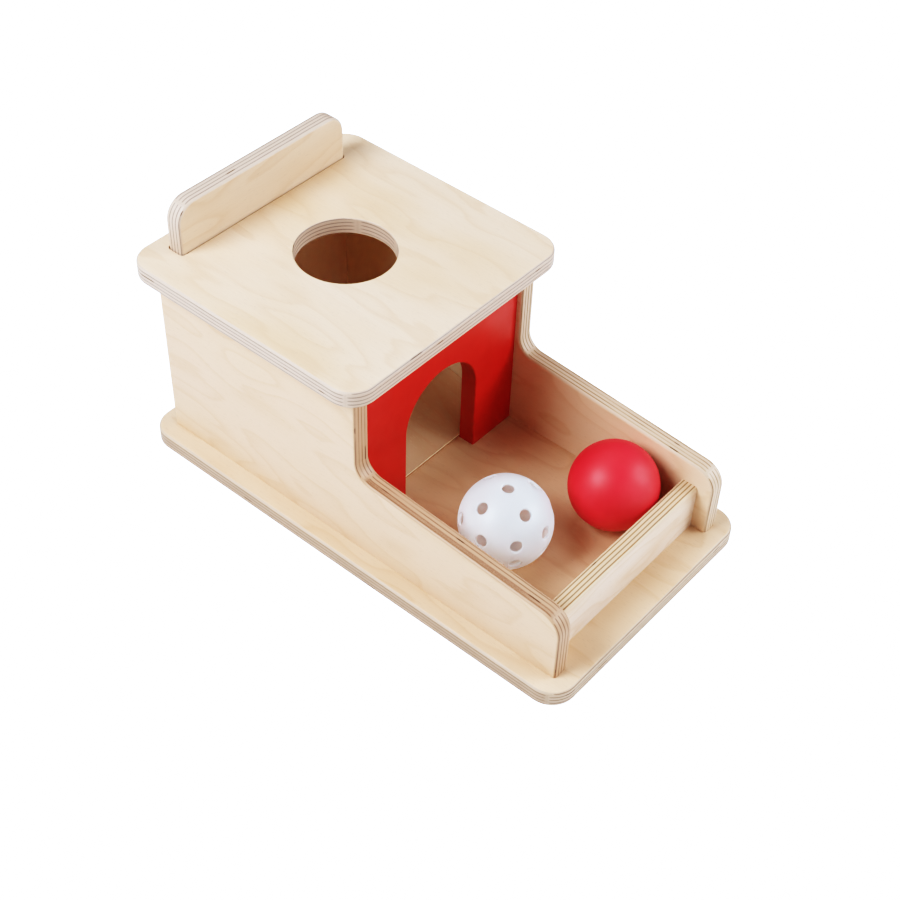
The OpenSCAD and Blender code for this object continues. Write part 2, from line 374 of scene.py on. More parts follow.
@dataclass(frozen=True)
class PlyEdge:
    """Edge of plywood: bands of side grain and end grain by depth through the board.

    With x = plies * (depth / thickness + 1/2), a ply runs along the board's grain where sin(pi * x) is
    above 0 and across it below. The plies that run towards the eye show dark end grain, so the bands swap
    over between edges that face along the grain (Facing 1) and edges beside it (Facing 0). Edge is 0 on
    the two faces and 1 just under them. Tone and Void have a place of their own in the noise for each ply.
    """

    waver: Swell = Swell(34.0, 34.0, detail=1.0)
    tone: Swell = Swell(46.0, 46.0, detail=1.0)
    gap: Swell = Swell(15.0, 15.0, detail=0.0)
    grit: Swell = Swell(1 / 1.6, 1 / 1.6, 1 / 2.4, roughness=0.6)
    sway: float = 0.45
    ply_apart: float = 7.31
    under_face: Ease = (0.06, 0.35)
    darkened: Ease = (-0.30, -0.80)
    glued: Ease = (0.28, 0.0)
    open_gap: Ease = (0.73, 0.79)

    def group(self) -> bpy.types.NodeTree:
        """Builds the effect.

        Returns:
            The group with Edge, Dark, Glue, Void, Tone and Grit, each from 0 to 1.
        """
        values = dict.fromkeys(("Thickness", "Plies", "Seed", "Facing"), Port.VALUE)
        gives = ("Edge", "Dark", "Glue", "Void", "Tone", "Grit")
        effect = Effect("ply_edge", {"Vector": Port.VECTOR, **values}, gives)
        graph, vector = effect.graph, effect.given["Vector"]
        thick, plies, seed, facing = (effect.given[key] for key in values)
        shift = graph.along_z(seed)
        depth = graph.parts(vector)[2]
        inside = graph.maths("SUBTRACT", graph.times(thick, 0.5), graph.maths("ABSOLUTE", depth))
        place = graph.times(graph.maths("ADD", graph.maths("DIVIDE", depth, thick), 0.5), plies)
        waver = graph.maths("SUBTRACT", graph.noise(vector, self.waver, shift), 0.5)
        place = graph.maths("ADD", place, graph.times(waver, self.sway))
        turned = graph.maths("SUBTRACT", 1.0, graph.times(facing, 2.0))
        wave = graph.times(graph.maths("SINE", graph.times(place, math.pi)), turned)
        dark = graph.rise(wave, *self.darkened)
        own = graph.maths("ADD", seed, graph.times(graph.maths("FLOOR", place), self.ply_apart))
        own = graph.along_z(own)
        return effect.give(
            Edge=graph.rise(inside, *self.under_face),
            Dark=dark,
            Glue=graph.rise(graph.maths("ABSOLUTE", wave), *self.glued),
            Void=graph.times(graph.rise(graph.noise(vector, self.gap, own), *self.open_gap), dark),
            Tone=graph.noise(vector, self.tone, own),
            Grit=graph.noise(vector, self.grit, shift),
        )


@dataclass(frozen=True)
class HandTouch:
    """Handling and spray marks that any finish has: a slow mottle and a fine orange peel."""

    mottle: Swell = Swell(24.0, 24.0, 24.0, detail=3.0, roughness=0.55)
    peel: Swell = Swell(1.4, 1.4, 1.4, detail=1.0)

    def group(self) -> bpy.types.NodeTree:
        """Builds the effect.

        Returns:
            The group with Mottle and Peel, each from 0 to 1.
        """
        effect = Effect("hand_touch", {"Vector": Port.VECTOR, "Seed": Port.VALUE}, ("Mottle", "Peel"))
        graph, vector = effect.graph, effect.given["Vector"]
        shift = graph.along_z(effect.given["Seed"])
        mottle, peel = (graph.noise(vector, swell, shift) for swell in (self.mottle, self.peel))
        return effect.give(Mottle=mottle, Peel=peel)


class Effects:
    """The shared node groups, made when the scene is built."""

    def __init__(self) -> None:
        """Builds each group once."""
        self.veneer = VeneerFigure().group()
        self.ply = PlyEdge().group()
        self.touch = HandTouch().group()


class Skin:
    """A new material with its surface shader, and the pattern's place on the piece."""

    def __init__(self, name: str, turn: Matrix | None = None, middle: Triple = (0.0, 0.0, 0.0)) -> None:
        """Starts the material.

        Args:
            name: The material's name.
            turn: Rotation from the frame to the pattern, or None for no turn.
            middle: Point in mm that becomes the pattern's origin.
        """
        self.material = bpy.data.materials.new(name)
        self.material.use_nodes = True
        self.graph = Graph(self.material.node_tree)
        self.shader = self.material.node_tree.nodes["Principled BSDF"]
        turn = turn or Matrix.Identity(3)
        place = self.graph.node("ShaderNodeMapping", vector_type="POINT")
        place.inputs["Scale"].default_value = (PER_MM,) * 3
        place.inputs["Rotation"].default_value = turn.to_euler("XYZ")
        place.inputs["Location"].default_value = -(turn @ Vector(middle))
        self.frame = self.graph.node("ShaderNodeTexCoord").outputs
        self.graph.feed(place.inputs["Vector"], self.frame["Object"])
        self.vector = place.outputs[0]

    def set(self, **sockets: Feed) -> None:
        """Sets or links the shader's inputs, named with _ for each space."""
        for key, value in sockets.items():
            self.graph.feed(self.shader.inputs[key.replace("_", " ")], value)

    def facing(self, way: Triple) -> Socket:
        """How squarely the surface faces a direction or its opposite, from 0 to 1."""
        return self.graph.maths("ABSOLUTE", self.graph.vectors("DOT_PRODUCT", self.frame["Normal"], way))

    def within(self, low: Vector, high: Vector) -> Socket:
        """1 inside a box of the shared frame and 0 outside it.

        A point is inside where the largest part of |point - middle| - half is below 0.

        Args:
            low: The box's lowest corner in metres.
            high: Its highest corner.

        Returns:
            The mask.
        """
        away = self.graph.vectors("SUBTRACT", self.frame["Object"], tuple((low + high) / 2))
        away = self.graph.vectors("ABSOLUTE", away)
        past = self.graph.vectors("SUBTRACT", away, tuple((high - low) / 2))
        return self.graph.maths("LESS_THAN", self.graph.maths("MAXIMUM", *self.graph.parts(past)), 0.0)

    def bump(self, height: Socket, strength: float, distance: float) -> None:
        """Raises the surface's look by a height.

        Args:
            height: Height from 0 to 1.
            strength: Share of the full effect.
            distance: Height in metres that 1 stands for.
        """
        made = self.graph.node("ShaderNodeBump")
        made.inputs["Strength"].default_value = strength
        made.inputs["Distance"].default_value = distance
        self.graph.feed(made.inputs["Height"], height)
        self.graph.feed(self.shader.inputs["Normal"], made.outputs[0])


@dataclass(frozen=True)
class PlywoodFinish:
    """Clear-lacquered birch plywood: pale figured faces and banded edges; inside the closed box the faces
    are paler, as bare wood and as painted light that lifts the shaded interior.

    Lengths are in mm. Each Ease is where a pattern begins and ends to show, and its levels there.
    """

    name: str
    through: Axis
    along: Axis
    middle: Triple
    thickness: float
    plies: int
    seed: float
    tilt: float = 0.0
    chamber: tuple[Vector, Vector] | None = None
    burn: tuple[float, float] | None = None
    # Depth in mm under each face that stays unscorched and light: partly the face ply's own side grain,
    # partly a painted highlight on the rounded arris.
    rim: float = 1.4
    band_blur: float = 0.4

    face: Triple = linear(229, 198, 170)
    line: Triple = linear(204, 163, 131)
    cloud: Triple = linear(222, 186, 152)
    # Paler bare-wood colour for faces inside the closed box: partly bare wood, partly painted light that
    # brightens the shaded interior.
    bare_lit_inside: Triple = linear(236, 220, 190)
    side_grain: Triple = linear(207, 182, 163)
    end_grain: Triple = linear(172, 147, 134)
    warm_grain: Triple = linear(176, 134, 104)
    void: Triple = linear(70, 48, 38)
    burnt: Triple = linear(138, 99, 78)

    figure: float = 0.85
    fibre: float = 0.42
    fleck: float = 0.16
    bare: float = 0.85
    scorch: float = 0.1
    glue: float = 0.10
    gap: float = 0.85

    end_on: Ease = (0.35, 0.65)
    clouded: Ease = (0.35, 0.75)
    warmed: Ease = (0.45, 0.65)
    scorched: Ease = (0.25, 0.6, 0.55, 1.0)
    side_grit: Ease = (0.4, 0.7, 0.0, 0.22)
    end_grit: Ease = (0.45, 0.75, 0.0, 0.2)
    burn_tone: Ease = (0.3, 0.6, 0.35, 0.9)
    burn_grit: Ease = (0.3, 0.6, 0.45, 1.0)

    roughness: Ease = (0.3, 0.7, 0.39, 0.50)
    specular: float = 0.3
    coat: float = 0.06
    coat_roughness: float = 0.35
    end_relief: float = -0.5
    fibre_relief: float = 0.25
    grit_relief: float = 0.6
    bump: float = 0.35
    bump_height: float = 0.00012

    def turn(self) -> Matrix:
        """Rotation that lays the grain along x, the width along y and the plies along z.

        Returns:
            The rotation from the frame to the pattern.
        """
        lean = Matrix.Rotation(self.tilt, 3, "X")
        through, along = lean @ Vector(self.through.value), lean @ Vector(self.along.value)
        return Matrix((along, through.cross(along), through))

    def band(self, skin: Skin, start: float, end: float) -> Socket:
        """1 between two depths through the board and 0 outside them, with soft ends.

        Args:
            skin: The material that is being built.
            start: The first depth in mm from the board's middle.
            end: The second depth.

        Returns:
            The mask.
        """
        depth = skin.graph.parts(skin.vector)[2]
        opens = skin.graph.rise(depth, start - self.band_blur, start + self.band_blur)
        closes = skin.graph.rise(depth, end - self.band_blur, end + self.band_blur, 1.0, 0.0)
        return skin.graph.times(opens, closes)

    def faces(self, skin: Skin, figure: dict[str, Socket]) -> Socket:
        """Colour of the board's two faces.

        Args:
            skin: The material that is being built.
            figure: Patterns of the veneer.

        Returns:
            The colour.
        """
        graph = skin.graph
        layers = [
            (figure["Line"], self.figure, self.line),
            (figure["Fibre"], self.fibre, self.line),
            (figure["Fleck"], self.fleck, self.end_grain),
        ]
        # Inside the closed box the faces turn paler: painted light standing in for light that reaches the
        # interior.
        if self.chamber:
            layers.append((skin.within(*self.chamber), self.bare, self.bare_lit_inside))
        colour = graph.mix(graph.rise(figure["Cloud"], *self.clouded), self.face, self.cloud)
        for mask, share, over in layers:
            colour = graph.mix(graph.times(mask, share), colour, over)
        return colour

    def edges(self, skin: Skin, ply: dict[str, Socket], facing: Socket) -> Socket:
        """Colour of the board's edges.

        Args:
            skin: The material that is being built.
            ply: Patterns of the plies.
            facing: 1 on edges that face along the grain and 0 on edges beside it.

        Returns:
            The colour.
        """
        graph = skin.graph
        # The rim next to each face is kept out of the scorch: partly real face ply, partly a painted
        # highlight on the arris.
        half = self.thickness / 2 - self.rim
        beside = graph.times(graph.maths("SUBTRACT", 1.0, facing), self.band(skin, -half, half))
        worn = graph.times(beside, graph.rise(ply["Tone"], *self.scorched), self.scorch)
        side = graph.mix(graph.rise(ply["Grit"], *self.side_grit), self.side_grain, self.line)
        side = graph.mix(worn, side, self.warm_grain)
        dark = graph.mix(graph.rise(ply["Tone"], *self.warmed), self.end_grain, self.warm_grain)
        dark = graph.mix(graph.rise(ply["Grit"], *self.end_grit), dark, self.void)
        colour = graph.mix(ply["Dark"], side, dark)
        if self.burn:
            share = graph.times(
                beside,
                graph.rise(ply["Tone"], *self.burn_tone),
                graph.rise(ply["Grit"], *self.burn_grit),
                self.band(skin, *self.burn),
            )
            colour = graph.mix(share, colour, self.burnt)
        colour = graph.mix(graph.times(ply["Glue"], self.glue), colour, self.void)
        return graph.mix(graph.times(ply["Void"], self.gap), colour, self.void)

    def material(self, effects: Effects) -> bpy.types.Material:
        """Builds the material.

        Args:
            effects: The shared node groups.

        Returns:
            The new material.
        """
        skin = Skin(self.name, self.turn(), self.middle)
        graph = skin.graph
        facing = graph.rise(skin.facing(self.along.value), *self.end_on)
        figure = graph.use(effects.veneer, Vector=skin.vector, Seed=self.seed)
        touch = graph.use(effects.touch, Vector=skin.vector, Seed=self.seed)
        ply = graph.use(
            effects.ply,
            Vector=skin.vector,
            Thickness=self.thickness,
            Plies=float(self.plies),
            Seed=self.seed,
            Facing=facing,
        )
        skin.set(
            Base_Color=graph.mix(ply["Edge"], self.faces(skin, figure), self.edges(skin, ply, facing)),
            Roughness=graph.rise(touch["Mottle"], *self.roughness),
            Specular_IOR_Level=self.specular,
            Coat_Weight=self.coat,
            Coat_Roughness=self.coat_roughness,
        )
        low = graph.times(ply["Edge"], ply["Dark"], self.end_relief)
        fine = graph.times(figure["Fibre"], self.fibre_relief)
        rough = graph.times(ply["Edge"], ply["Grit"], self.grit_relief)
        skin.bump(graph.maths("ADD", low, fine, rough), self.bump, self.bump_height)
        return skin.material


@dataclass(frozen=True)
class PaintFinish:
    """Satin paint or lacquer in one colour, with a faint mottle and orange peel."""

    name: str
    main: Triple
    other: Triple
    seed: float
    roughness: float
    coat: float
    peel: float
    mottled: Ease = (0.3, 0.75)
    dulled: Ease = (0.25, 0.75)
    smoother: float = 0.04
    rougher: float = 0.05
    coat_roughness: float = 0.22
    peel_height: float = 0.00006

    def material(self, effects: Effects) -> bpy.types.Material:
        """Builds the material.

        Args:
            effects: The shared node groups.

        Returns:
            The new material.
        """
        skin = Skin(self.name)
        graph = skin.graph
        touch = graph.use(effects.touch, Vector=skin.vector, Seed=self.seed)
        levels = (self.roughness - self.smoother, self.roughness + self.rougher)
        skin.set(
            Base_Color=graph.mix(graph.rise(touch["Mottle"], *self.mottled), self.main, self.other),
            Roughness=graph.rise(touch["Mottle"], *self.dulled, *levels),
            Coat_Weight=self.coat,
            Coat_Roughness=self.coat_roughness,
        )
        skin.bump(touch["Peel"], self.peel, self.peel_height)
        return skin.material


@dataclass(frozen=True)
class PlasticFinish:
    """Thin moulded plastic that lets light through.

    The wall's colour goes from the inside one to the outside one between two distances in mm from the
    middle; the whiter inside colour is painted light standing in for light that comes through the wall into
    the holes. Reach is how far light spreads in the plastic, in metres, and spread is its share by colour.
    """

    name: str
    main: Triple
    other: Triple
    inside: Triple
    middle: Triple
    wall: tuple[float, float]
    seed: float
    reach: float
    spread: Triple = (1.0, 1.0, 0.94)
    mottled: Ease = (0.3, 0.75)
    roughness: Ease = (0.25, 0.75, 0.33, 0.45)
    peel: float = 0.12
    peel_height: float = 0.00005

    def material(self, effects: Effects) -> bpy.types.Material:
        """Builds the material.

        Args:
            effects: The shared node groups.

        Returns:
            The new material.
        """
        skin = Skin(self.name, middle=self.middle)
        graph = skin.graph
        touch = graph.use(effects.touch, Vector=skin.vector, Seed=self.seed)
        away = graph.vectors("LENGTH", skin.vector)
        outside = graph.mix(graph.rise(touch["Mottle"], *self.mottled), self.main, self.other)
        skin.set(
            # Whiter towards the inside of the wall: painted light that brightens the holes.
            Base_Color=graph.mix(graph.rise(away, *self.wall), self.inside, outside),
            Roughness=graph.rise(touch["Mottle"], *self.roughness),
            Subsurface_Weight=1.0,
            Subsurface_Radius=self.spread,
            Subsurface_Scale=self.reach,
        )
        skin.bump(touch["Peel"], self.peel, self.peel_height)
        return skin.material


def wear(node: str, material: bpy.types.Material) -> None:
    """Gives a CAD node's object a material.

    Args:
        node: The node's name.
        material: Its new material.
    """
    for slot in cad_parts[node].material_slots:
        slot.material = material
    LOG.info("%s wears %s", node, material.name)


def middle_mm(node: str) -> Triple:
    """The middle of a node's box in mm."""
    low, high = (Vector(corner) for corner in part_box(node))
    return tuple((low + high) * 0.5 * PER_MM)


def chamber() -> tuple[Vector, Vector]:
    """The closed space between the walls, panels, base and top, with a hair's breadth added all round.

    Returns:
        Its lowest and highest corners in metres.
    """
    hair = Vector((HAIR,) * 3)
    low = Vector((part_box("left_wall")[1][0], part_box("front_panel")[1][1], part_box("base_board")[1][2]))
    high = Vector((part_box("right_wall")[0][0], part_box("back_panel")[0][1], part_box("top_board")[0][2]))
    return low - hair, high + hair


@dataclass
class Board:
    """One plywood board of the box, with what its finish has of its own."""

    node: str
    through: Axis
    along: Axis
    seed: float
    changes: dict[str, object]
    plies: int = 9

    def thickness(self) -> float:
        """The board's thickness in mm, from its box."""
        low, high = (Vector(corner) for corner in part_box(self.node))
        return (high - low).dot(Vector(self.through.value)) * PER_MM

    def dress(self, effects: Effects) -> None:
        """Gives the board its own plywood.

        Args:
            effects: The shared node groups.
        """
        finish = PlywoodFinish(
            name=f"birch_{self.node}",
            through=self.through,
            along=self.along,
            middle=middle_mm(self.node),
            thickness=self.thickness(),
            plies=self.plies,
            seed=self.seed,
            chamber=chamber(),
            **self.changes,
        )
        wear(self.node, finish.material(effects))


BROWN_EDGE = {
    "side_grain": linear(190, 153, 127),
    "end_grain": linear(142, 108, 87),
    "warm_grain": linear(174, 138, 114),
    "scorch": 0.5,
    "burn": (-4.6, -1.2),
}
WARM_EDGE = {
    "side_grain": linear(207, 179, 155),
    "end_grain": linear(152, 120, 98),
    "warm_grain": linear(184, 152, 128),
    "scorch": 0.3,
}
GREY_EDGE = {
    "end_grain": linear(158, 138, 127),
    "warm_grain": linear(164, 144, 132),
}
TAN_EDGE = {
    "side_grain": linear(198, 172, 150),
    "end_grain": linear(146, 121, 104),
    "warm_grain": linear(158, 130, 110),
    "scorch": 0.6,
}
LINED_EDGE = {
    "side_grain": linear(212, 182, 152),
    "end_grain": linear(142, 114, 90),
    "warm_grain": linear(150, 114, 84),
}
TAN_FACE = {"cloud": linear(219, 183, 152)}
ROSY_FACE = {"face": linear(222, 187, 160), "cloud": linear(222, 188, 158)}
PALE_FACE = {"face": linear(230, 202, 177), "line": linear(210, 173, 142), "cloud": linear(225, 194, 167)}
PALEST_FACE = {**PALE_FACE, "face": linear(231, 210, 195)}
PLAIN_FACE = {"face": linear(231, 202, 176), "figure": 0.6}


@dataclass
class Carcass:
    """The glued box: base, walls, panels, top and rail."""

    boards: tuple[Board, ...] = (
        Board("base_board", Axis.Z, Axis.Y, seed=3.1, changes={**TAN_EDGE, **TAN_FACE}),
        Board("left_wall", Axis.X, Axis.Y, seed=11.7, changes={**BROWN_EDGE, **ROSY_FACE}),
        Board("right_wall", Axis.X, Axis.Y, seed=23.4, changes={**WARM_EDGE, **PALE_FACE}),
        Board("back_panel", Axis.Y, Axis.X, seed=31.9, changes={**GREY_EDGE, **PALE_FACE}),
        Board("top_board", Axis.Z, Axis.Y, seed=47.2, changes={**GREY_EDGE, **PLAIN_FACE}),
        Board("front_rail", Axis.Y, Axis.X, seed=53.8, changes={**LINED_EDGE, **PALEST_FACE}),
    )
    paint: PaintFinish = PaintFinish(
        "red_panel_paint",
        main=linear(194, 22, 21),
        other=linear(187, 18, 17),
        seed=5.0,
        roughness=0.42,
        coat=0.10,
        peel=0.25,
    )

    def dress(self, effects: Effects) -> None:
        """Finishes each board and paints the front panel.

        Args:
            effects: The shared node groups.
        """
        for board in self.boards:
            board.dress(effects)
        wear("front_panel", self.paint.material(effects))


@dataclass
class Slide:
    """The hidden ramp with its wedges, and the dowels that pin the box. Lengths are in mm."""

    thickness: float = 4.0
    lip: float = 2.8
    plies: int = 3
    seed: float = 61.3
    # The ramp's face and cloud are darker than the other boards: painted shade on the ramp seen through the
    # arch.
    face: Triple = linear(212, 182, 154)
    cloud: Triple = linear(206, 174, 142)
    # Ramp edge plies: the dark one is partly the ply's own grain and partly painted shadow under the lip;
    # the near-white one is a painted highlight on the lip's upper edge.
    shadowed_ply: Triple = linear(176, 128, 94)
    highlit_ply: Triple = linear(255, 240, 210)
    timber: tuple[str, ...] = (
        "left_ramp_wedge",
        "right_ramp_wedge",
        "wall_dowels",
        "panel_dowels",
        "rail_dowels",
        "top_dowels",
    )
    beech: PaintFinish = PaintFinish(
        "beech_timber",
        main=linear(205, 164, 118),
        other=linear(188, 142, 97),
        seed=8.0,
        roughness=0.55,
        coat=0.0,
        peel=0.4,
    )

    def dress(self, effects: Effects) -> None:
        """Finishes the ramp, the wedges and the dowels.

        The ramp leans by atan((height - lip) / length) of its box, and its pattern's middle lies half its
        thickness under the middle of its upper face.

        Args:
            effects: The shared node groups.
        """
        low, high = (Vector(corner) * PER_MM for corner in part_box("ramp"))
        size = high - low
        tilt = math.atan2(size.z - self.lip, size.y)
        normal = Matrix.Rotation(tilt, 3, "X") @ Vector(Axis.Z.value)
        top = Vector(((low.x + high.x) / 2, (low.y + high.y) / 2, low.z + (self.lip + size.z) / 2))
        board = PlywoodFinish(
            name="birch_ramp",
            through=Axis.Z,
            along=Axis.Y,
            middle=tuple(top - normal * self.thickness / 2),
            thickness=self.thickness,
            plies=self.plies,
            seed=self.seed,
            tilt=tilt,
            face=self.face,
            cloud=self.cloud,
            # Dark and near-white edge plies: painted shadow under the lip and a painted highlight on its
            # upper edge.
            side_grain=self.shadowed_ply,
            end_grain=self.highlit_ply,
            warm_grain=self.highlit_ply,
        )
        wear("ramp", board.material(effects))
        material = self.beech.material(effects)
        for node in self.timber:
            wear(node, material)


@dataclass
class PerforatedBall:
    """The hollow white ball: a thin shell with round holes whose rims are softly rounded.

    Lengths are in metres and angles in degrees. Each half has a hole at its pole and rings of holes round
    it, each given by its count, its tilt from the pole and its first hole's turn.
    """

    node: str = "white_ball"
    wall: float = 0.0018
    hole: float = 0.0076
    outer_rim: float = 0.0007
    inner_rim: float = 0.0005
    rings: tuple[tuple[int, float, float], ...] = ((4, 40.0, 0.0), (8, 75.0, 22.5))
    turn: float = 74.0
    edge_steps: int = 10
    skin_steps: int = 8
    rim_steps: int = 5
    behind: float = 1e-9
    touching: float = 1e-6
    merged_per_metre: float = 1e8

    def radius(self) -> float:
        """The ball's radius, from its box."""
        low, high = (np.array(corner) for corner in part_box(self.node))
        return float((high - low).max()) / 2

    def ways(self) -> Array:
        """Directions of the holes from the ball's middle.

        A hole at tilt t and turn a lies along (sin t cos a, sin t sin a, cos t). The lower half is the
        upper one with z turned over.

        Returns:
            Unit vectors, one row for each hole.
        """
        counts = [1] + [count for count, _, _ in self.rings]
        tilt = np.radians(np.repeat([0.0] + [tilt for _, tilt, _ in self.rings], counts))
        turn = [first + np.arange(count) * 360.0 / count for count, _, first in self.rings]
        turn = np.radians(np.concatenate([[0.0]] + turn) + self.turn)
        upper = np.stack([np.sin(tilt) * np.cos(turn), np.sin(tilt) * np.sin(turn), np.cos(tilt)], axis=-1)
        return np.concatenate([upper, upper * (1.0, 1.0, -1.0)])

    def borders(self, ways: Array) -> tuple[Array, Array, Array]:
        """Splits the ball into one cell for each hole, by which hole is nearest.

        Three or more holes meet at a cell corner where the plane through them has every other hole behind
        it: the corner is that plane's normal. Two corners that share two holes are the ends of the border
        between them.

        Args:
            ways: Directions of the holes.

        Returns:
            The start and the end of each border, and the two holes that it parts.
        """
        trios = np.array(list(combinations(range(len(ways)), 3)))
        a, b, c = (ways[trios[:, k]] for k in range(3))
        normal = np.cross(b - a, c - a)
        normal /= np.linalg.norm(normal, axis=1, keepdims=True)
        normal *= np.sign(np.sum(normal * a, axis=1, keepdims=True))
        lifted = normal @ ways.T - np.sum(normal * a, axis=1, keepdims=True)
        kept = np.all(lifted < self.behind, axis=1)
        member, first = np.unique(lifted[kept] > -self.touching, axis=0, return_index=True)
        corner, shared = normal[kept][first], member.astype(int) @ member.T.astype(int)
        start, end = np.nonzero(np.triu(shared == 2))
        parted = np.nonzero(member[start] & member[end])[1].reshape(-1, 2)
        return corner[start], corner[end], parted

    def profile(self, radius: float, reach: Array) -> tuple[Array, Array]:
        """The shell's section beside a hole, from its cell's border over the rim and back inside.

        The rims are quarter rounds that touch the hole's wall and the sphere: a round of radius q in a
        sphere of radius r has its middle hole/2 + q from the hole's axis and r - q (outside) or r + q
        (inside) from the ball's middle.

        Args:
            radius: The ball's radius.
            reach: Angle from the hole's axis to the border, for each section.

        Returns:
            Distance from the hole's axis and height along it, with the section's points on the last axis.
        """
        share = np.linspace(0.0, 1.0, self.skin_steps + 1)
        turns = np.linspace(0.0, 1.0, self.rim_steps + 1)[1:]
        inner = radius - self.wall
        out_at, in_at = self.hole / 2 + self.outer_rim, self.hole / 2 + self.inner_rim
        out_up = math.sqrt((radius - self.outer_rim) ** 2 - out_at**2)
        in_up = math.sqrt((inner + self.inner_rim) ** 2 - in_at**2)
        out_lean, in_lean = math.atan2(out_at, out_up), math.atan2(in_at, in_up)
        outside = reach[..., None] + (out_lean - reach[..., None]) * share
        inside = in_lean + (reach[..., None] - in_lean) * share
        over = out_lean - (out_lean + math.pi / 2) * turns
        under = -math.pi / 2 + (in_lean - math.pi / 2) * np.concatenate([[0.0], turns[:-1]])
        ones = np.ones((*reach.shape, 1))
        away = [radius * np.sin(outside), ones * (out_at + self.outer_rim * np.sin(over))]
        away += [ones * (in_at + self.inner_rim * np.sin(under)), inner * np.sin(inside)]
        up = [radius * np.cos(outside), ones * (out_up + self.outer_rim * np.cos(over))]
        up += [ones * (in_up + self.inner_rim * np.cos(under)), inner * np.cos(inside)]
        return np.concatenate(away, axis=-1), np.concatenate(up, axis=-1)

    def build(self) -> bpy.types.Object:
        """Carries the section round every hole, from border point to border point, and joins the seams.

        A border point is the unit vector of (1 - u) * start + u * end. With d the hole's axis and e the
        unit vector from it towards the border point, a section point is up * d + away * e.

        Returns:
            The ball, which stands for the CAD one.
        """
        middle, radius = np.array(middle_mm(self.node)) / PER_MM, self.radius()
        ways = self.ways()
        start, end, parted = self.borders(ways)
        u = np.linspace(0.0, 1.0, self.edge_steps + 1)[None, :, None]
        border = (1 - u) * start[:, None] + u * end[:, None]
        border = np.repeat(border / np.linalg.norm(border, axis=-1, keepdims=True), 2, axis=0)
        axis = ways[parted.reshape(-1)][:, None]
        along = np.sum(border * axis, axis=-1, keepdims=True)
        side = border - along * axis
        far = np.linalg.norm(side, axis=-1, keepdims=True)
        away, up = self.profile(radius, np.arctan2(far, along)[..., 0])
        points = up[..., None] * axis[:, :, None] + away[..., None] * (side / far)[:, :, None]
        index = np.arange(points[..., 0].size).reshape(points.shape[:3])
        points = points.reshape(-1, 3)
        turn = np.sum(np.cross(border[:, 0], border[:, -1]) * axis[:, 0], axis=-1) > 0
        quads = [index[:, :-1, :-1], index[:, 1:, :-1], index[:, 1:, 1:], index[:, :-1, 1:]]
        quads = np.stack(quads, axis=-1)
        quads = np.where(turn[:, None, None, None], quads, quads[..., ::-1]).reshape(-1, 4)
        spots = np.round(points * self.merged_per_metre).astype(np.int64)
        _, kept, where = np.unique(spots, axis=0, return_index=True, return_inverse=True)
        shell = bpy.data.meshes.new("white_ball_shell")
        shell.from_pydata((points[kept] + middle).tolist(), [], where.reshape(-1)[quads].tolist())
        shell.polygons.foreach_set("use_smooth", np.ones(len(quads), dtype=bool))
        ball = bpy.data.objects.new("white_ball_shell", shell)
        bpy.context.scene.collection.objects.link(ball)
        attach(ball, "white_ball")
        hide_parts(self.node)
        LOG.info("white_ball_shell has %d holes and %d faces", len(ways), len(quads))
        return ball


@dataclass
class Balls:
    """The two balls in the tray."""

    red: PaintFinish = PaintFinish(
        "red_ball_lacquer",
        main=linear(213, 36, 58),
        other=linear(207, 30, 51),
        seed=13.0,
        roughness=0.52,
        coat=0.03,
        peel=0.10,
    )
    shell: PerforatedBall = field(default_factory=PerforatedBall)
    outer_tint_depth: float = 0.5

    def dress(self, effects: Effects) -> None:
        """Finishes both balls.

        Args:
            effects: The shared node groups.
        """
        wear("red_ball", self.red.material(effects))
        ball = self.shell.build()
        outside = self.shell.radius() * PER_MM
        plastic = PlasticFinish(
            name="white_ball_plastic",
            main=linear(239, 242, 247),
            other=linear(235, 239, 245),
            # The inside colour is whiter than the outside: painted light standing in for light that comes
            # through the thin wall.
            inside=linear(253, 255, 254),
            middle=middle_mm("white_ball"),
            wall=(outside - self.shell.wall * PER_MM, outside - self.outer_tint_depth),
            seed=17.0,
            reach=0.017,
        )
        ball.data.materials.append(plastic.material(effects))


@dataclass(frozen=True)
class SoftBox:
    """A square studio light that faces the object."""

    name: str
    towards: Triple
    distance: float
    side: float
    level: float

    def place(self, aim: Vector) -> None:
        """Hangs the light.

        A square light of power P at distance r lights a facing matt white surface to P / (pi * r)^2,
        so the power follows from the level that is wanted.

        Args:
            aim: Point that the light faces.
        """
        lamp = bpy.data.lights.new(self.name, "AREA")
        lamp.shape = "SQUARE"
        lamp.size = self.side
        lamp.energy = self.level * (math.pi * self.distance) ** 2
        hung = bpy.data.objects.new(self.name, lamp)
        way = Vector(self.towards).normalized()
        hung.location = aim + way * self.distance
        hung.rotation_euler = way.to_track_quat("Z", "Y").to_euler()
        bpy.context.scene.collection.objects.link(hung)
        LOG.info("light %s at %.1f W", self.name, lamp.energy)


@dataclass(frozen=True)
class ViewPoint:
    """The camera, in the shared frame."""

    place: Triple = (-0.57045, -0.47343, 0.76770)
    right: Triple = (0.63931, -0.76774, 0.04312)
    up: Triple = (0.53318, 0.48300, 0.69457)
    lens: float = 65.14
    sensor: float = 36.0
    shift: tuple[float, float] = (-0.04244, 0.03733)
    nearest: float = 0.01

    def set_up(self) -> None:
        """Makes the scene's camera."""
        data = bpy.data.cameras.new("photo_view")
        data.sensor_width = self.sensor
        data.lens = self.lens
        data.shift_x, data.shift_y = self.shift
        data.clip_start = self.nearest
        camera = bpy.data.objects.new("photo_view", data)
        right, up = Vector(self.right).normalized(), Vector(self.up).normalized()
        turn = Matrix((right, up, right.cross(up))).transposed()
        camera.matrix_world = Matrix.Translation(self.place) @ turn.to_4x4()
        bpy.context.scene.collection.objects.link(camera)
        bpy.context.scene.camera = camera


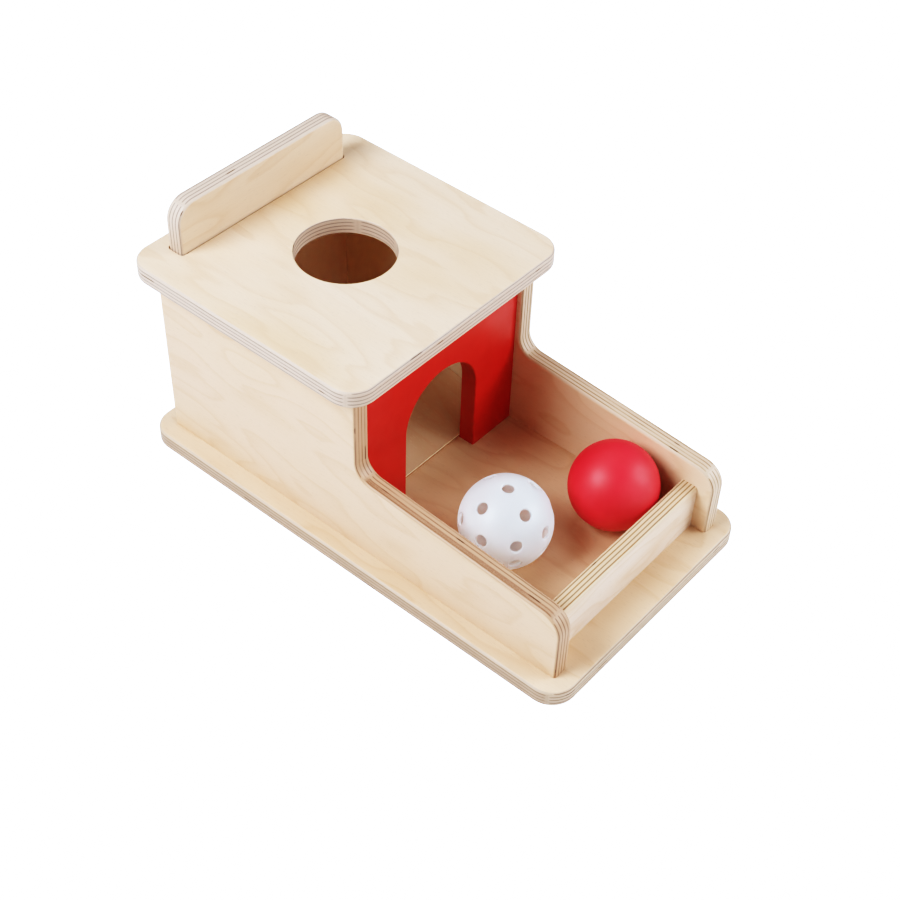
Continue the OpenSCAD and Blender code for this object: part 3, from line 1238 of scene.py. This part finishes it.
@dataclass(frozen=True)
class ToneCurve:
    """The picture's contrast: warm, deep shadows, lifted middle tones and a soft shoulder.

    Red, green and blue each have a curve. On screen values s from 0 to 1 it is the logistic
    1 / (1 + exp(-steepness * (s - pivot))), shifted and scaled so that 0 and 1 stay where they are.
    """

    steepness: Triple = (5.76, 7.0, 8.2)
    pivot: Triple = (0.26, 0.291, 0.302)
    steps: int = 20

    def bend(self, screen: Array, part: int) -> Array:
        """Screen values of red, green or blue after their curve.

        Args:
            screen: The values before it.
            part: 0, 1 or 2 for red, green or blue.

        Returns:
            The values after it.
        """
        place = np.concatenate([[0.0, 1.0], screen])
        level = 1.0 / (1.0 + np.exp(-self.steepness[part] * (place - self.pivot[part])))
        return (level[2:] - level[0]) / (level[1] - level[0])

    def set_up(self) -> None:
        """Draws the curves, which act on linear light, through points at even screen values."""
        view = bpy.context.scene.view_settings
        view.view_transform = "Standard"
        view.use_curve_mapping = True
        view.curve_mapping.extend = "HORIZONTAL"
        screen = np.linspace(0.0, 1.0, self.steps)[1:-1]
        for part in range(3):
            drawn = view.curve_mapping.curves[part]
            for x, y in zip(lit(screen), lit(self.bend(screen, part))):
                drawn.points.new(float(x), float(y))
            for point in drawn.points:
                point.handle_type = "AUTO_CLAMPED"
        view.curve_mapping.update()


@dataclass
class Studio:
    """Plain pale floor, soft lights and the camera."""

    view: ViewPoint = ViewPoint()
    tone: ToneCurve = ToneCurve()
    lights: tuple[SoftBox, ...] = (
        SoftBox("back_left_box", (-0.665, 0.29, 0.69), distance=1.5, side=0.8, level=0.513),
        SoftBox("front_right_box", (0.57, -0.68, 0.46), distance=1.4, side=0.8, level=0.329),
        SoftBox("front_glow", (-0.15, -1.0, 0.45), distance=1.6, side=1.2, level=0.091),
        SoftBox("right_glow", (1.0, -0.1, 0.6), distance=1.6, side=1.4, level=0.026),
        SoftBox("overhead_glow", (0.3, 0.5, 1.0), distance=1.6, side=1.6, level=0.130),
    )
    aim: Triple = (0.0, 0.0, 0.07)
    floor_half: float = 3.0
    floor_drop: float = 0.0003
    floor_steps: int = 24
    floor_tint: Triple = (0.93, 0.93, 0.93)
    floor_roughness: float = 0.9
    floor_specular: float = 0.1
    floor_glow: float = 0.8
    sky_level: float = 0.005
    sky_seen: float = 1.0
    bounces: int = 24

    def floor(self) -> None:
        """Lays the floor: the grid (u, v) -> (half * u, half * v, -drop) for u and v from -1 to 1."""
        line = np.linspace(-self.floor_half, self.floor_half, self.floor_steps)
        along, across = np.meshgrid(line, line, indexing="ij")
        points = np.stack([along, across, np.full_like(along, -self.floor_drop)], axis=-1).reshape(-1, 3)
        index = np.arange(points.shape[0]).reshape(self.floor_steps, self.floor_steps)
        quads = np.stack([index[:-1, :-1], index[1:, :-1], index[1:, 1:], index[:-1, 1:]], axis=-1)
        mesh = bpy.data.meshes.new("studio_floor")
        mesh.from_pydata(points.tolist(), [], quads.reshape(-1, 4).tolist())
        laid = bpy.data.objects.new("studio_floor", mesh)
        skin = Skin("studio_paper")
        seen = skin.graph.node("ShaderNodeLightPath").outputs["Is Camera Ray"]
        skin.set(
            Base_Color=opaque(self.floor_tint),
            Roughness=self.floor_roughness,
            Specular_IOR_Level=self.floor_specular,
            Emission_Color=opaque(WHITE),
            Emission_Strength=skin.graph.times(seen, self.floor_glow),
        )
        mesh.materials.append(skin.material)
        bpy.context.scene.collection.objects.link(laid)

    def sky(self) -> None:
        """Makes the sky, which is white where the camera sees it and gives the object little light."""
        world = bpy.data.worlds.new("studio_sky")
        world.use_nodes = True
        graph = Graph(world.node_tree)
        ground = world.node_tree.nodes["Background"]
        ground.inputs["Color"].default_value = opaque(WHITE)
        seen = graph.node("ShaderNodeLightPath").outputs["Is Camera Ray"]
        graph.feed(ground.inputs["Strength"], graph.rise(seen, 0.0, 1.0, self.sky_level, self.sky_seen))
        bpy.context.scene.world = world

    def set_up(self) -> None:
        """Sets the tone, the sky, the floor, the lights and the camera."""
        self.tone.set_up()
        cycles = bpy.context.scene.cycles
        cycles.max_bounces = cycles.diffuse_bounces = self.bounces
        self.sky()
        self.floor()
        for light in self.lights:
            light.place(Vector(self.aim))
        self.view.set_up()


def main() -> None:
    """Builds the studio and dresses every piece."""
    logging.basicConfig(level=logging.INFO, format="%(message)s")
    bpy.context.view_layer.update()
    Studio().set_up()
    effects = Effects()
    for assembly in (Carcass(), Slide(), Balls()):
        assembly.dress(effects)
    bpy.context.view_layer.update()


if __name__ == "__main__":
    main()
